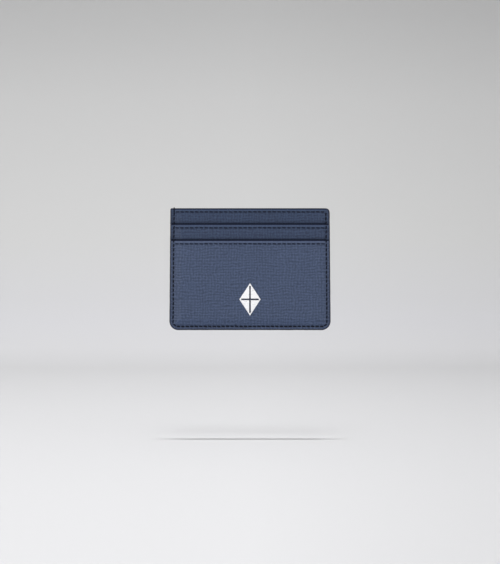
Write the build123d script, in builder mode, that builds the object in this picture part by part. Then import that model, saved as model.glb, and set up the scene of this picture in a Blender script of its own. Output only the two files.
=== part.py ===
from build123d import *
import os

# Leather card holder: two stepped card slots on each side and an open pocket in the middle.
#
# The holder is a sandwich of two mirrored halves. Each half has, from the middle outwards, a leaf that
# walls the middle pocket, an upper pocket and an outer pocket. Every mouth is a turned hem with its own
# line of stitches, and one seam runs down the left side, along the bottom and up the right side through
# all the layers. The slots stand open by one card thickness, and the layers close together at the seam.
#
# Frame: X runs across the holder, Y from the front (-) to the back (+), Z up. The origin is the middle of
# the bottom edge, on the plane between the two halves. Lengths are in millimetres.

# What the holder carries: ID-1 cards, 85.60 mm wide and 0.76 mm thick
CARD_WIDTH = 85.6
SLOT_GAP = 0.80

# Outline, edge paint included. The sides lean in slightly towards the top.
HEIGHT = 76.0
WIDTH_AT_BOTTOM = 100.6
WIDTH_AT_TOP = 99.4
BOTTOM_CORNER = 5.6
TOP_LEFT_CORNER = 0.5
TOP_RIGHT_CORNER = 2.6

# Heights of the three hems on each side
LEAF_TOP = HEIGHT
UPPER_TOP = 66.0
POCKET_TOP = 56.0
UPPER_LEATHER_LOW = 48.0
LEAF_LEATHER_LOW = 58.0

# Layer thicknesses
LEATHER = 0.40
LINING = 0.15
TEXTILE = 0.15
STIFFENER = 0.20
BOARD = 0.30
FILLER = 0.75
EDGE_PAINT = 0.35

# Seam and the slope between it and the flat field that holds the cards, measured from the outer edge
SEAM_WIDTH = 3.0
FIELD_CLEARANCE = 0.5
FIELD_INSET = WIDTH_AT_TOP / 2 - CARD_WIDTH / 2 - FIELD_CLEARANCE
BOARD_INSET = FIELD_INSET + FIELD_CLEARANCE / 2

# Turned hems
FLAP = 7.0
FOLD = 0.55
FOLD_ROUND = 0.18
HEM_GAP = 0.10

# Upper pocket body, closed below by a tape with its own line of stitches
BODY_TOP = UPPER_TOP - 4.0
BASE_TAPE_TOP = 20.0
BASE_BEND_HIGH = 17.5
BASE_BEND_LOW = 14.0
BASE_LOW = 11.0

# Thread
THREAD_RADIUS = 0.15
LEG_RADIUS = 0.13
THREAD_GAP = 0.06
SEAM_PITCH = 2.8
HEM_PITCH = 3.1
SEAM_STITCH_INSET = 2.35
SEAM_STITCH_CORNER = 1.5
HEM_STITCH_DROP = 2.3
HEM_GROOVE = 2 * THREAD_RADIUS
HEM_STITCH_COUNT = 30
BASE_STITCH_COUNT = 26

# Emblem: an upright lozenge in four facets, on the outer face of the front pocket
EMBLEM_WIDTH = 13.2
EMBLEM_HEIGHT = 20.2
EMBLEM_BASE = 0.35
EMBLEM_FACET = 0.45
EMBLEM_GROOVE = 0.9
EMBLEM_RIM = 0.45
EMBLEM_CENTRE = 19.2
STUD_RADIUS = 0.55
STUD_SPACING = 8.0
STUD_CLEARANCE = 0.05
WASHER_WIDTH = 5.0
WASHER_HEIGHT = 13.0

# Depth of each layer over the cards, counted from the middle plane
LEAF_LINING_DEPTH = SLOT_GAP / 2
LEAF_BOARD_DEPTH = LEAF_LINING_DEPTH + LINING
LEAF_LEATHER_DEPTH = LEAF_BOARD_DEPTH + BOARD
UPPER_FLAP_DEPTH = LEAF_LEATHER_DEPTH + LEATHER + SLOT_GAP
UPPER_BODY_DEPTH = UPPER_FLAP_DEPTH + LINING
UPPER_LEATHER_DEPTH = UPPER_BODY_DEPTH + TEXTILE
POCKET_LINING_DEPTH = UPPER_LEATHER_DEPTH + LEATHER + SLOT_GAP
POCKET_STIFFENER_DEPTH = POCKET_LINING_DEPTH + LINING
POCKET_LEATHER_DEPTH = POCKET_STIFFENER_DEPTH + STIFFENER
OUTER_FACE = POCKET_LEATHER_DEPTH + LEATHER

# Depth of each leather where it is caught in the seam
LEAF_SEAM_DEPTH = LINING
UPPER_SEAM_DEPTH = LEAF_SEAM_DEPTH + LEATHER + FILLER
POCKET_SEAM_DEPTH = UPPER_SEAM_DEPTH + LEATHER + FILLER


def half_width(height):
    """Half the holder's width at a height."""
    share = height / HEIGHT
    return (WIDTH_AT_BOTTOM * (1 - share) + WIDTH_AT_TOP * share) / 2


def at_depth(depth):
    """Sketch plane parallel to the front face, that far in front of the middle plane."""
    return Plane.XZ.offset(depth)


def field(low, high, inset, mode=Mode.ADD):
    """Four-sided shape that stays the same distance inside both sides."""
    left_low, left_high = inset - half_width(low), inset - half_width(high)
    Polygon(
        (left_low, low),
        (-left_low, low),
        (-left_high, high),
        (left_high, high),
        align=None,
        mode=mode,
    )


def panel(low, high):
    """Outline of a panel that reaches the painted edge, with the holder's own corners."""
    field(low, high, EDGE_PAINT)
    if low == EDGE_PAINT:
        fillet(vertices().group_by(Axis.Y)[0], BOTTOM_CORNER - EDGE_PAINT)
    if high == HEIGHT:
        fillet(vertices().group_by(Axis.Y)[-1].sort_by(Axis.X)[-1], TOP_RIGHT_CORNER)
        fillet(vertices().group_by(Axis.Y)[-1].sort_by(Axis.X)[0], TOP_LEFT_CORNER)


def dish(low, high, seam_depth, flat_depth, closed_below):
    """Block between the seam's depth and the field's depth, with sloping sides."""
    with BuildPart() as made:
        with BuildSketch(at_depth(seam_depth)):
            field(SEAM_WIDTH if closed_below else low, high, SEAM_WIDTH)
        with BuildSketch(at_depth(flat_depth)):
            field(FIELD_INSET if closed_below else low, high, FIELD_INSET)
        loft()
    return made.part


def sheet(low, high, seam_depth, flat_depth, thickness):
    """Sheet that lies flat in the seam and rises to stand clear of the cards.

    A sheet that starts at the bottom edge is closed along the bottom too.
    """
    closed_below = low == EDGE_PAINT
    hollow = dish(low, high, seam_depth, flat_depth, closed_below)
    with BuildPart() as made:
        with BuildSketch(at_depth(seam_depth)):
            panel(low, high)
        extrude(amount=thickness)
        add(dish(low, high, seam_depth + thickness, flat_depth + thickness, closed_below))
        add(hollow, mode=Mode.SUBTRACT)
    return made.part


def hemmed(leather, high, flap_depth, leather_depth):
    """Leather with its mouth turned in, and a groove for the hem's stitches.

    The turning makes a fold along the top and a flap down the inside.
    """
    with BuildPart() as made:
        add(leather)
        with BuildSketch(at_depth(flap_depth)):
            field(high - FLAP, high, FIELD_INSET)
        extrude(amount=LINING)
        with BuildSketch(at_depth(flap_depth)):
            field(high - FOLD, high, FIELD_INSET)
        extrude(amount=leather_depth + LEATHER - flap_depth)
        rims = edges().group_by(Axis.Z)[-1].filter_by(Axis.X)
        fillet(rims.filter_by(lambda rim: rim.length > CARD_WIDTH / 2), FOLD_ROUND)
        row = high - HEM_STITCH_DROP
        with BuildSketch(at_depth(leather_depth + LEATHER)):
            field(row - HEM_GROOVE / 2, row + HEM_GROOVE / 2, SEAM_WIDTH)
        extrude(amount=-HEM_GROOVE, mode=Mode.SUBTRACT)
    return made.part


def plate(low, high, inset, depth, thickness):
    """Flat plate that stays inside the field."""
    with BuildPart() as made:
        with BuildSketch(at_depth(depth)):
            field(low, high, inset)
        extrude(amount=thickness)
    return made.part


def leaf_lining():
    """Fabric wall of the middle pocket. Above the flap only its two side tabs go on, into the seam."""
    with BuildPart() as made:
        add(sheet(EDGE_PAINT, HEIGHT - TOP_RIGHT_CORNER, 0, LEAF_LINING_DEPTH, LINING))
        with BuildSketch(at_depth(0)):
            field(LEAF_TOP - FLAP - HEM_GAP, HEIGHT, SEAM_WIDTH)
        extrude(amount=LEAF_BOARD_DEPTH, mode=Mode.SUBTRACT)
    return made.part


def upper_base_tape():
    """Tape at the foot of the upper pocket's body, bent in to the leaf where it is sewn down."""
    high_depth, low_depth = UPPER_BODY_DEPTH - TEXTILE, LEAF_LEATHER_DEPTH
    reach = CARD_WIDTH / 2 + FIELD_CLEARANCE / 2
    inner = [
        (-high_depth, BASE_TAPE_TOP),
        (-high_depth, BASE_BEND_HIGH),
        (-low_depth, BASE_BEND_LOW),
        (-low_depth, BASE_LOW),
    ]
    outer = [(depth - TEXTILE, height) for depth, height in reversed(inner)]
    with BuildPart() as made:
        with BuildSketch(Plane.YZ.offset(-reach)):
            Polygon(*inner, *outer, align=None)
        extrude(amount=2 * reach)
    return made.part


def edge_filler(high, leather_low, seam_depth):
    """Strip that builds the seam up beside a leather, round the sides and bottom.

    It is thicker below the leather, where it also stands in for the leather's own thickness.
    """
    with BuildPart() as made:
        for top, depth, thickness in (
            (high, seam_depth + LEATHER, FILLER),
            (leather_low - HEM_GAP, seam_depth, LEATHER),
        ):
            with BuildSketch(at_depth(depth)):
                panel(EDGE_PAINT, top)
                field(SEAM_WIDTH, top + HEM_GAP, SEAM_WIDTH, mode=Mode.SUBTRACT)
            extrude(amount=thickness)
    return made.part


def stitch(start, end, leg_length):
    """One stitch: thread laid from start towards end, and its leg down the needle hole at start."""
    run = end - start
    laid_length = run.length - THREAD_RADIUS - THREAD_GAP
    with BuildPart() as made:
        with Locations(Plane(start, z_dir=run)):
            Cylinder(THREAD_RADIUS, laid_length, align=(Align.CENTER, Align.CENTER, Align.MIN))
        with Locations(Plane(start, z_dir=(0, 1, 0))):
            Cylinder(LEG_RADIUS, leg_length, align=(Align.CENTER, Align.CENTER, Align.MIN))
    return made.part


def panel_face(x, height, seam_depth, flat_depth):
    """Depth of a leather's outer face, from the seam, up the slope and over the field."""
    from_edge = half_width(height) - abs(x)
    risen = (from_edge - SEAM_WIDTH) / (FIELD_INSET - SEAM_WIDTH)
    return LEATHER + seam_depth + (flat_depth - seam_depth) * min(max(risen, 0), 1)


def thread_row(height, count, face_depth, leg_length):
    """Straight row of stitches across the front, where face_depth gives the face's depth at an x."""
    places = [(number - count / 2) * HEM_PITCH for number in range(count + 1)]
    holes = [Vector(x, -face_depth(x), height) for x in places]
    stitches = []
    for a, b in zip(holes, holes[1:]):
        stitches.append(stitch(a, b, min(leg_length, -a.Y - THREAD_GAP)))
    return Compound(stitches)


def hem_thread(high, seam_depth, leather_depth, flap_depth):
    """Stitches along a turned hem, sunk flush with the leather."""
    height = high - HEM_STITCH_DROP
    return thread_row(
        height,
        HEM_STITCH_COUNT,
        lambda x: panel_face(x, height, seam_depth, leather_depth) - THREAD_RADIUS,
        leather_depth + LEATHER - THREAD_RADIUS - flap_depth,
    )


def seam_face(height):
    """Depth of the front face in the seam, which steps down at each hem."""
    if height < POCKET_TOP:
        return POCKET_SEAM_DEPTH + LEATHER
    if height < UPPER_TOP:
        return UPPER_SEAM_DEPTH + LEATHER
    return LEAF_SEAM_DEPTH + LEATHER


def seam_thread():
    """Stitches of the seam on one face: down the left side, along the bottom and up the right.

    The row starts at the top edge on the left, and ends level with the top hem's row on the right.
    """
    left_top = HEIGHT - LEG_RADIUS - THREAD_GAP
    right_top = HEIGHT - HEM_STITCH_DROP
    side_low = half_width(SEAM_STITCH_INSET) - SEAM_STITCH_INSET
    with BuildLine(Plane.XZ) as path:
        Polyline(
            (SEAM_STITCH_INSET - half_width(left_top), left_top),
            (-side_low, SEAM_STITCH_INSET),
            (side_low, SEAM_STITCH_INSET),
            (half_width(right_top) - SEAM_STITCH_INSET, right_top),
        )
        fillet(path.vertices().group_by(Axis.Z)[0], SEAM_STITCH_CORNER)
    count = round(path.wire().length / SEAM_PITCH)
    places = [path.wire() @ (number / count) for number in range(count + 1)]
    stitches = []
    for a, b in zip(places, places[1:]):
        depth = seam_face(min(a.Z, b.Z))
        laid = Vector(0, -depth, 0)
        stitches.append(stitch(a + laid, b + laid, depth - THREAD_GAP))
    return Compound(stitches)


def edge_paint():
    """Painted bead on the cut edges. It is as deep as the seam, so it steps in at each hem."""
    steps = (0, POCKET_TOP, UPPER_TOP, HEIGHT - TOP_RIGHT_CORNER)
    with BuildPart() as made:
        for low, high in zip(steps, steps[1:]):
            depth = seam_face(low)
            with BuildSketch(at_depth(-depth)):
                field(low, high, 0)
                if low == 0:
                    fillet(vertices().group_by(Axis.Y)[0], BOTTOM_CORNER)
                with BuildSketch(mode=Mode.SUBTRACT):
                    panel(max(low, EDGE_PAINT), high)
            extrude(amount=2 * depth)
    return made.part


def lozenge(width, height, mode=Mode.ADD):
    """Upright lozenge about the emblem's centre."""
    Polygon(
        (-width / 2, EMBLEM_CENTRE),
        (0, EMBLEM_CENTRE - height / 2),
        (width / 2, EMBLEM_CENTRE),
        (0, EMBLEM_CENTRE + height / 2),
        align=None,
        mode=mode,
    )


def emblem_cross():
    """The grooves between the emblem's four facets."""
    with Locations((0, EMBLEM_CENTRE)):
        Rectangle(EMBLEM_WIDTH, EMBLEM_GROOVE)
        Rectangle(EMBLEM_GROOVE, EMBLEM_HEIGHT)


def emblem_facet_size():
    """Width and height of the four facets together, inside the base's rim."""
    return EMBLEM_WIDTH - 2 * EMBLEM_RIM, EMBLEM_HEIGHT - 3 * EMBLEM_RIM


def studs(radius, depth, length):
    """The emblem's two fixing studs, or the holes for them."""
    with BuildPart() as made:
        with BuildSketch(at_depth(depth)):
            with Locations((0, EMBLEM_CENTRE)), GridLocations(0, STUD_SPACING, 1, 2):
                Circle(radius)
        extrude(amount=length)
    return made.part


def emblem_plate():
    """Metal lozenge: a thin base, four raised facets and two studs behind."""
    with BuildPart() as made:
        with BuildSketch(at_depth(OUTER_FACE)):
            lozenge(EMBLEM_WIDTH, EMBLEM_HEIGHT)
        extrude(amount=EMBLEM_BASE)
        with BuildSketch(at_depth(OUTER_FACE + EMBLEM_BASE)):
            lozenge(*emblem_facet_size())
            with BuildSketch(mode=Mode.SUBTRACT):
                emblem_cross()
        extrude(amount=EMBLEM_FACET)
        add(studs(STUD_RADIUS, POCKET_STIFFENER_DEPTH, OUTER_FACE - POCKET_STIFFENER_DEPTH))
    return made.part


def emblem_enamel():
    """Dark enamel that fills the lower half of the grooves."""
    with BuildPart() as made:
        with BuildSketch(at_depth(OUTER_FACE + EMBLEM_BASE)):
            lozenge(*emblem_facet_size())
            with BuildSketch(mode=Mode.INTERSECT):
                emblem_cross()
        extrude(amount=EMBLEM_FACET / 2)
    return made.part


def emblem_washer():
    """Steel plate behind the leather that the studs are clenched in."""
    with BuildPart() as made:
        with BuildSketch(at_depth(POCKET_STIFFENER_DEPTH)):
            with Locations((0, EMBLEM_CENTRE)):
                RectangleRounded(WASHER_WIDTH, WASHER_HEIGHT, STUD_RADIUS * 2)
        extrude(amount=STIFFENER)
        add(studs(STUD_RADIUS, POCKET_STIFFENER_DEPTH, STIFFENER), mode=Mode.SUBTRACT)
    return made.part


def with_stud_holes(leather):
    """Front pocket leather, with the holes for the emblem's studs."""
    with BuildPart() as made:
        add(leather)
        holes = studs(STUD_RADIUS + STUD_CLEARANCE, POCKET_LEATHER_DEPTH, LEATHER)
        add(holes, mode=Mode.SUBTRACT)
    return made.part


def with_washer_window(stiffener):
    """Front pocket stiffener, cut away round the emblem's washer."""
    with BuildPart() as made:
        add(stiffener)
        with BuildSketch(at_depth(POCKET_STIFFENER_DEPTH)):
            with Locations((0, EMBLEM_CENTRE)):
                Rectangle(WASHER_WIDTH + 2 * STUD_CLEARANCE, WASHER_HEIGHT + 2 * STUD_CLEARANCE)
        extrude(amount=STIFFENER, mode=Mode.SUBTRACT)
    return made.part


def half():
    """Every piece of the front half that the back half repeats."""
    leaf = sheet(LEAF_LEATHER_LOW, LEAF_TOP, LEAF_SEAM_DEPTH, LEAF_LEATHER_DEPTH, LEATHER)
    upper = sheet(UPPER_LEATHER_LOW, UPPER_TOP, UPPER_SEAM_DEPTH, UPPER_LEATHER_DEPTH, LEATHER)
    pocket = sheet(EDGE_PAINT, POCKET_TOP, POCKET_SEAM_DEPTH, POCKET_LEATHER_DEPTH, LEATHER)
    under_fold = FOLD + HEM_GAP
    return {
        "leaf_lining": leaf_lining(),
        "leaf_board": plate(
            BOARD_INSET, LEAF_TOP - under_fold, BOARD_INSET, LEAF_BOARD_DEPTH, BOARD
        ),
        "leaf_leather": hemmed(leaf, LEAF_TOP, LEAF_LINING_DEPTH, LEAF_LEATHER_DEPTH),
        "leaf_hem_thread": hem_thread(
            LEAF_TOP, LEAF_SEAM_DEPTH, LEAF_LEATHER_DEPTH, LEAF_LINING_DEPTH
        ),
        "inner_edge_filler": edge_filler(UPPER_TOP, LEAF_LEATHER_LOW, LEAF_SEAM_DEPTH),
        "upper_pocket_body": plate(
            BASE_BEND_HIGH, BODY_TOP, BOARD_INSET, UPPER_BODY_DEPTH, TEXTILE
        ),
        "upper_pocket_base_tape": upper_base_tape(),
        "upper_pocket_tape": plate(
            BODY_TOP + HEM_GAP, UPPER_TOP - under_fold, BOARD_INSET, UPPER_BODY_DEPTH, TEXTILE
        ),
        "upper_pocket_leather": hemmed(
            upper, UPPER_TOP, UPPER_FLAP_DEPTH, UPPER_LEATHER_DEPTH
        ),
        "upper_pocket_hem_thread": hem_thread(
            UPPER_TOP, UPPER_SEAM_DEPTH, UPPER_LEATHER_DEPTH, UPPER_FLAP_DEPTH
        ),
        "upper_pocket_base_thread": thread_row(
            (BASE_LOW + BASE_BEND_LOW) / 2,
            BASE_STITCH_COUNT,
            lambda x: LEAF_LEATHER_DEPTH + TEXTILE,
            LEAF_LEATHER_DEPTH + TEXTILE - LEAF_LINING_DEPTH,
        ),
        "outer_edge_filler": edge_filler(POCKET_TOP, UPPER_LEATHER_LOW, UPPER_SEAM_DEPTH),
        "pocket_lining": plate(
            BOARD_INSET, POCKET_TOP - FLAP - HEM_GAP, BOARD_INSET, POCKET_LINING_DEPTH, LINING
        ),
        "pocket_stiffener": plate(
            BOARD_INSET,
            POCKET_TOP - under_fold,
            BOARD_INSET,
            POCKET_STIFFENER_DEPTH,
            STIFFENER,
        ),
        "pocket_leather": hemmed(
            pocket, POCKET_TOP, POCKET_LINING_DEPTH, POCKET_LEATHER_DEPTH
        ),
        "pocket_hem_thread": hem_thread(
            POCKET_TOP, POCKET_SEAM_DEPTH, POCKET_LEATHER_DEPTH, POCKET_LINING_DEPTH
        ),
        "seam_thread": seam_thread(),
    }


def holder():
    """Every piece by its name."""
    pieces = {}
    for name, piece in half().items():
        pieces["front_" + name] = piece
        pieces["back_" + name] = mirror(piece, about=Plane.XZ)
    pieces["front_pocket_leather"] = with_stud_holes(pieces["front_pocket_leather"])
    pieces["front_pocket_stiffener"] = with_washer_window(pieces["front_pocket_stiffener"])
    pieces["edge_paint"] = edge_paint()
    pieces["emblem_plate"] = emblem_plate()
    pieces["emblem_enamel"] = emblem_enamel()
    pieces["emblem_washer"] = emblem_washer()
    return pieces


os.makedirs("parts", exist_ok=True)
for name, piece in holder().items():
    piece.label = name
    export_step(piece, f"parts/{name}.step")
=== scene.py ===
import math

import bmesh
import bpy
import numpy as np
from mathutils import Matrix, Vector


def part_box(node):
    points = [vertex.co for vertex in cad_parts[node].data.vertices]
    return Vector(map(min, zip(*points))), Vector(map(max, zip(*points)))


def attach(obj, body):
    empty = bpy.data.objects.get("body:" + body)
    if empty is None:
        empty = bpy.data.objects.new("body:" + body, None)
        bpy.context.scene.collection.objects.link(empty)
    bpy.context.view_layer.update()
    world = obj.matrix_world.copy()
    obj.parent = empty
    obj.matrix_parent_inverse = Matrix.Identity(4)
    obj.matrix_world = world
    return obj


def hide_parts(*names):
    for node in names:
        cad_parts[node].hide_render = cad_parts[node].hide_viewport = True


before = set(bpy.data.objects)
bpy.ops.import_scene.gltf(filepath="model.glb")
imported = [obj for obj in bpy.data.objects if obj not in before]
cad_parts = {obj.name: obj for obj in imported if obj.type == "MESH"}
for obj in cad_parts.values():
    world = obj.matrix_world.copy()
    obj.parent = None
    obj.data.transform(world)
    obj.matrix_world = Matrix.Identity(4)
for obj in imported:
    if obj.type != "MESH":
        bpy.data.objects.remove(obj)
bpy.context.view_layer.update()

# The looks of a leather card holder, built over its fixed frame. Lengths here are millimetres, and each
# mesh is turned into metres where it is made. "Depth" is distance from the plane between the two
# halves, so the same formulas make the front, towards -Y, and the back, towards +Y.

MM = 0.001
SEED = 11
SIDES = {"front": -1, "back": 1}

# ---------------------------------------------------------------- sizes read from the frame


def box(node):
    """Lowest and highest corner of a frame node, in millimetres."""
    low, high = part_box(node)
    return np.array(low) / MM, np.array(high) / MM


PAINT_BOX = box("edge_paint")
LEAF_BOX = box("front_leaf_leather")
UPPER_BOX = box("front_upper_pocket_leather")
POCKET_BOX = box("front_pocket_leather")
BOARD_BOX = box("front_leaf_board")
STIFFENER_BOX = box("front_pocket_stiffener")
EMBLEM_BOX = box("emblem_plate")

HEIGHT = LEAF_BOX[1][2]
PAINT = POCKET_BOX[0][2] - PAINT_BOX[0][2]
LEATHER = STIFFENER_BOX[0][1] - POCKET_BOX[0][1]
LEAN = (UPPER_BOX[1][0] - LEAF_BOX[1][0]) / (LEAF_BOX[0][2] - UPPER_BOX[0][2])
HEM_THREAD_BOX = box("front_pocket_hem_thread")
HEM_DROP = POCKET_BOX[1][2] - (HEM_THREAD_BOX[0][2] + HEM_THREAD_BOX[1][2]) / 2

# ---------------------------------------------------------------- sizes of the looks

STEP = 0.27
BACK_STEP = 1.6
BOTTOM_CORNER = 5.6
TOP_LEFT_CORNER = 0.4
TOP_RIGHT_CORNER = 2.5

SEAM_WIDTH = 3.0
SEAM_INSET = 2.4
SEAM_CORNER = 1.6
SEAM_PITCH = 2.8
HEM_PITCH = 3.05
FLAP = 7.0
FLAP_THICKNESS = 0.15
SEAM_THREAD = 0.35
HEM_THREAD = 0.30
LOW_SWELL = 0.22
STITCH_GAP = 1.15


def half_width(z):
    """Half the holder's width at a height, edge paint included."""
    return LEAF_BOX[1][0] + PAINT + LEAN * (LEAF_BOX[0][2] - z)


FIELD_INSET = half_width(BOARD_BOX[0][2]) - BOARD_BOX[1][0]


class Panel:
    """One leather: where it runs, how deep it lies in the seam and over the cards, its hem, its dark mouth
    rim (edge paint and painted shadow) and its tint, darker as painted shade on the leathers set further
    back.

    The shift moves its noise, so that no two leathers have the same grain.
    """

    def __init__(self, name, leather_box, fold, belly, rim, tint, shift):
        self.name = name
        self.low = leather_box[0][2]
        self.high = leather_box[1][2]
        self.seam = -leather_box[1][1] + LEATHER
        self.face = -leather_box[0][1]
        self.fold = fold
        self.belly = belly
        self.rim = rim
        self.tint = tint
        self.shift = shift


LEAF_FOLD = -LEAF_BOX[0][1] + BOARD_BOX[1][1] + FLAP_THICKNESS
UPPER_FOLD = -UPPER_BOX[0][1] + box("front_upper_pocket_body")[1][1] + FLAP_THICKNESS
POCKET_FOLD = -POCKET_BOX[0][1] + box("front_pocket_lining")[1][1]
# The leaf's and upper pocket's darker tints are painted shade on the leathers that lie back behind the
# pockets in front.
LEAF = Panel("leaf", LEAF_BOX, LEAF_FOLD, 0.08, 0.95, (0.50, 0.62, 0.72), 14.3)
UPPER = Panel("upper_pocket", UPPER_BOX, UPPER_FOLD, 0.18, 0.62, (0.60, 0.70, 0.78), 15.3)
POCKET = Panel("pocket", POCKET_BOX, POCKET_FOLD, 0.32, 0.62, (1.0, 1.0, 1.0), 17.0)

# ---------------------------------------------------------------- smooth noise

LATTICE_SIZE = 256
LATTICE = np.random.default_rng(SEED).random((LATTICE_SIZE, LATTICE_SIZE)) * 2 - 1


def smooth(t):
    """Eases 0 to 1, flat at both ends."""
    t = np.clip(t, 0, 1)
    return t * t * (3 - 2 * t)


def noise(x, y):
    """Smooth noise between -1 and 1 that changes over about one unit."""
    x, y = np.broadcast_arrays(np.asarray(x, float), np.asarray(y, float))
    cell_x, cell_y = np.floor(x).astype(int), np.floor(y).astype(int)
    u, v = smooth(x - cell_x), smooth(y - cell_y)
    near_x, near_y = cell_x % LATTICE_SIZE, cell_y % LATTICE_SIZE
    far_x, far_y = (cell_x + 1) % LATTICE_SIZE, (cell_y + 1) % LATTICE_SIZE
    low = LATTICE[near_x, near_y] * (1 - u) + LATTICE[far_x, near_y] * u
    high = LATTICE[near_x, far_y] * (1 - u) + LATTICE[far_x, far_y] * u
    return low * (1 - v) + high * v


def bump(distance, width):
    """Bell that is 1 at distance 0."""
    return np.exp(-((distance / width) ** 2))


# ---------------------------------------------------------------- the leather's surface


def inset_from_edge(x, z, start=0.0, corner=BOTTOM_CORNER):
    """Distance inside the outline, or inside a line that runs further in and turns its own corners."""
    from_side = half_width(z) - np.abs(x) - start
    from_bottom = z - start
    in_corner = (from_side < corner) & (from_bottom < corner)
    reach = np.hypot(corner - from_side, corner - from_bottom)
    return np.where(in_corner, corner - reach, np.minimum(from_side, from_bottom))


def side_inset(x, z):
    """Distance inside the two sides only."""
    return half_width(z) - np.abs(x)


def rise(panel, x, z):
    """0 in the seam, 1 over the cards."""
    inset = inset_from_edge(x, z) if panel.low < BOTTOM_CORNER else side_inset(x, z)
    steep = smooth((inset - SEAM_WIDTH + 0.5) / (FIELD_INSET + 1.1 - SEAM_WIDTH))
    return 0.93 * steep + 0.07 * smooth((inset - SEAM_WIDTH) / 16)


def calm_face(panel, x, z):
    """Depth of a leather's outer face without stitches or grain."""
    up = rise(panel, x, z)
    across = np.clip(1 - (x / half_width(z)) ** 2, 0, 1)
    to_mouth = np.exp(-(panel.high - z) / 14)
    depth = panel.seam + (panel.face - panel.seam) * up
    depth = depth + panel.belly * across * to_mouth * up
    waves = noise(x * 0.045 + panel.shift, z * 0.06) * 0.10 + noise(x * 0.13, z * 0.15 + 9) * 0.035
    return depth + waves * up


def seam_path():
    """The seam's stitch line, from the upper left, round the bottom, to the upper right: (x, z) points."""
    top = HEIGHT - HEM_DROP
    radius = SEAM_CORNER
    low = SEAM_INSET
    low_half = half_width(low) - SEAM_INSET
    turn = np.linspace(0, math.pi / 2, 9)
    corner = [(-low_half + radius * (1 - math.cos(a)), low + radius * (1 - math.sin(a))) for a in turn]
    left = [(SEAM_INSET - half_width(top), top)] + corner
    right = [(-x, z) for x, z in reversed(corner)] + [(half_width(top) - SEAM_INSET, top)]
    return np.array(left + right)


def walk(points, pitch):
    """Points along a line of (x, z) points, about one pitch apart."""
    legs = np.hypot(*np.diff(points, axis=0).T)
    along = np.concatenate([[0], np.cumsum(legs)])
    count = round(along[-1] / pitch)
    places = np.linspace(0, along[-1], count + 1)
    return np.stack([np.interp(places, along, points[:, 0]), np.interp(places, along, points[:, 1])], 1)


def needle_points(holes):
    """Where the thread goes in: both ends of every stitch."""
    runs = np.diff(holes, axis=0)
    steps = STITCH_GAP / 2 * runs / np.hypot(*runs.T)[:, None]
    return np.concatenate([holes[:-1] + steps, holes[1:] - steps])


def hem_line(panel):
    """The needle holes of a hem's straight row."""
    z = panel.high - HEM_DROP
    reach = half_width(z) - SEAM_INSET - 0.5
    count = round(2 * reach / HEM_PITCH)
    x = np.linspace(-reach, reach, count + 1)
    return np.stack([x, np.full_like(x, z)], 1)


SEAM_HOLES = walk(seam_path(), SEAM_PITCH)


def dimples(x, z, holes, width):
    """Sum of small bells round needle holes."""
    total = np.zeros_like(x)
    for hole_x, hole_z in holes:
        rows = np.abs(z - hole_z) < 3 * width
        near = rows & (np.abs(x - hole_x) < 3 * width)
        total[near] += bump(np.hypot(x[near] - hole_x, z[near] - hole_z), width)
    return np.minimum(total, 1)


GRAINS = ((1.8, 1.0), (0.97, 0.30))
GRAIN_DEPTH = 0.055


def grain(x, z):
    """Height of the grain, from -1 in a crease to 1: level ridges crossed by fainter upright ones."""
    wander = noise(x * 0.09, z * 0.12) * 0.8 + noise(x * 0.36 + 7, z * 0.36) * 0.34
    wander = wander + noise(x * 0.9, z * 0.8) * 0.32
    sway = noise(x * 0.12 + 31, z * 0.09) * 0.8 + noise(x * 0.36, z * 0.36 + 19) * 0.34
    sway = sway + noise(x * 0.8 + 5, z * 0.9) * 0.32
    strong = 0.20 + 0.80 * smooth(0.5 + 0.9 * noise(x * 0.80 + 50, z * 0.70))
    faint = 0.20 + 0.80 * smooth(0.5 + 0.9 * noise(x * 0.75, z * 0.80 + 70))
    total = np.zeros_like(x)
    for pitch, share in GRAINS:
        level = np.cos(2 * math.pi * (z + wander) / pitch)
        upright = np.cos(2 * math.pi * (x + sway) / pitch)
        total = total + share * (0.66 * strong * level + 0.56 * faint * upright)
    crack = np.abs(np.sin(math.pi * (z + wander) / GRAINS[0][0] + math.pi / 2))
    total = total - 0.45 * strong * np.maximum(1 - crack / 0.35, 0) ** 1.5
    return np.clip(total + 0.34 * noise(x * 1.7, z * 2.3), -1, 1)


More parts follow.
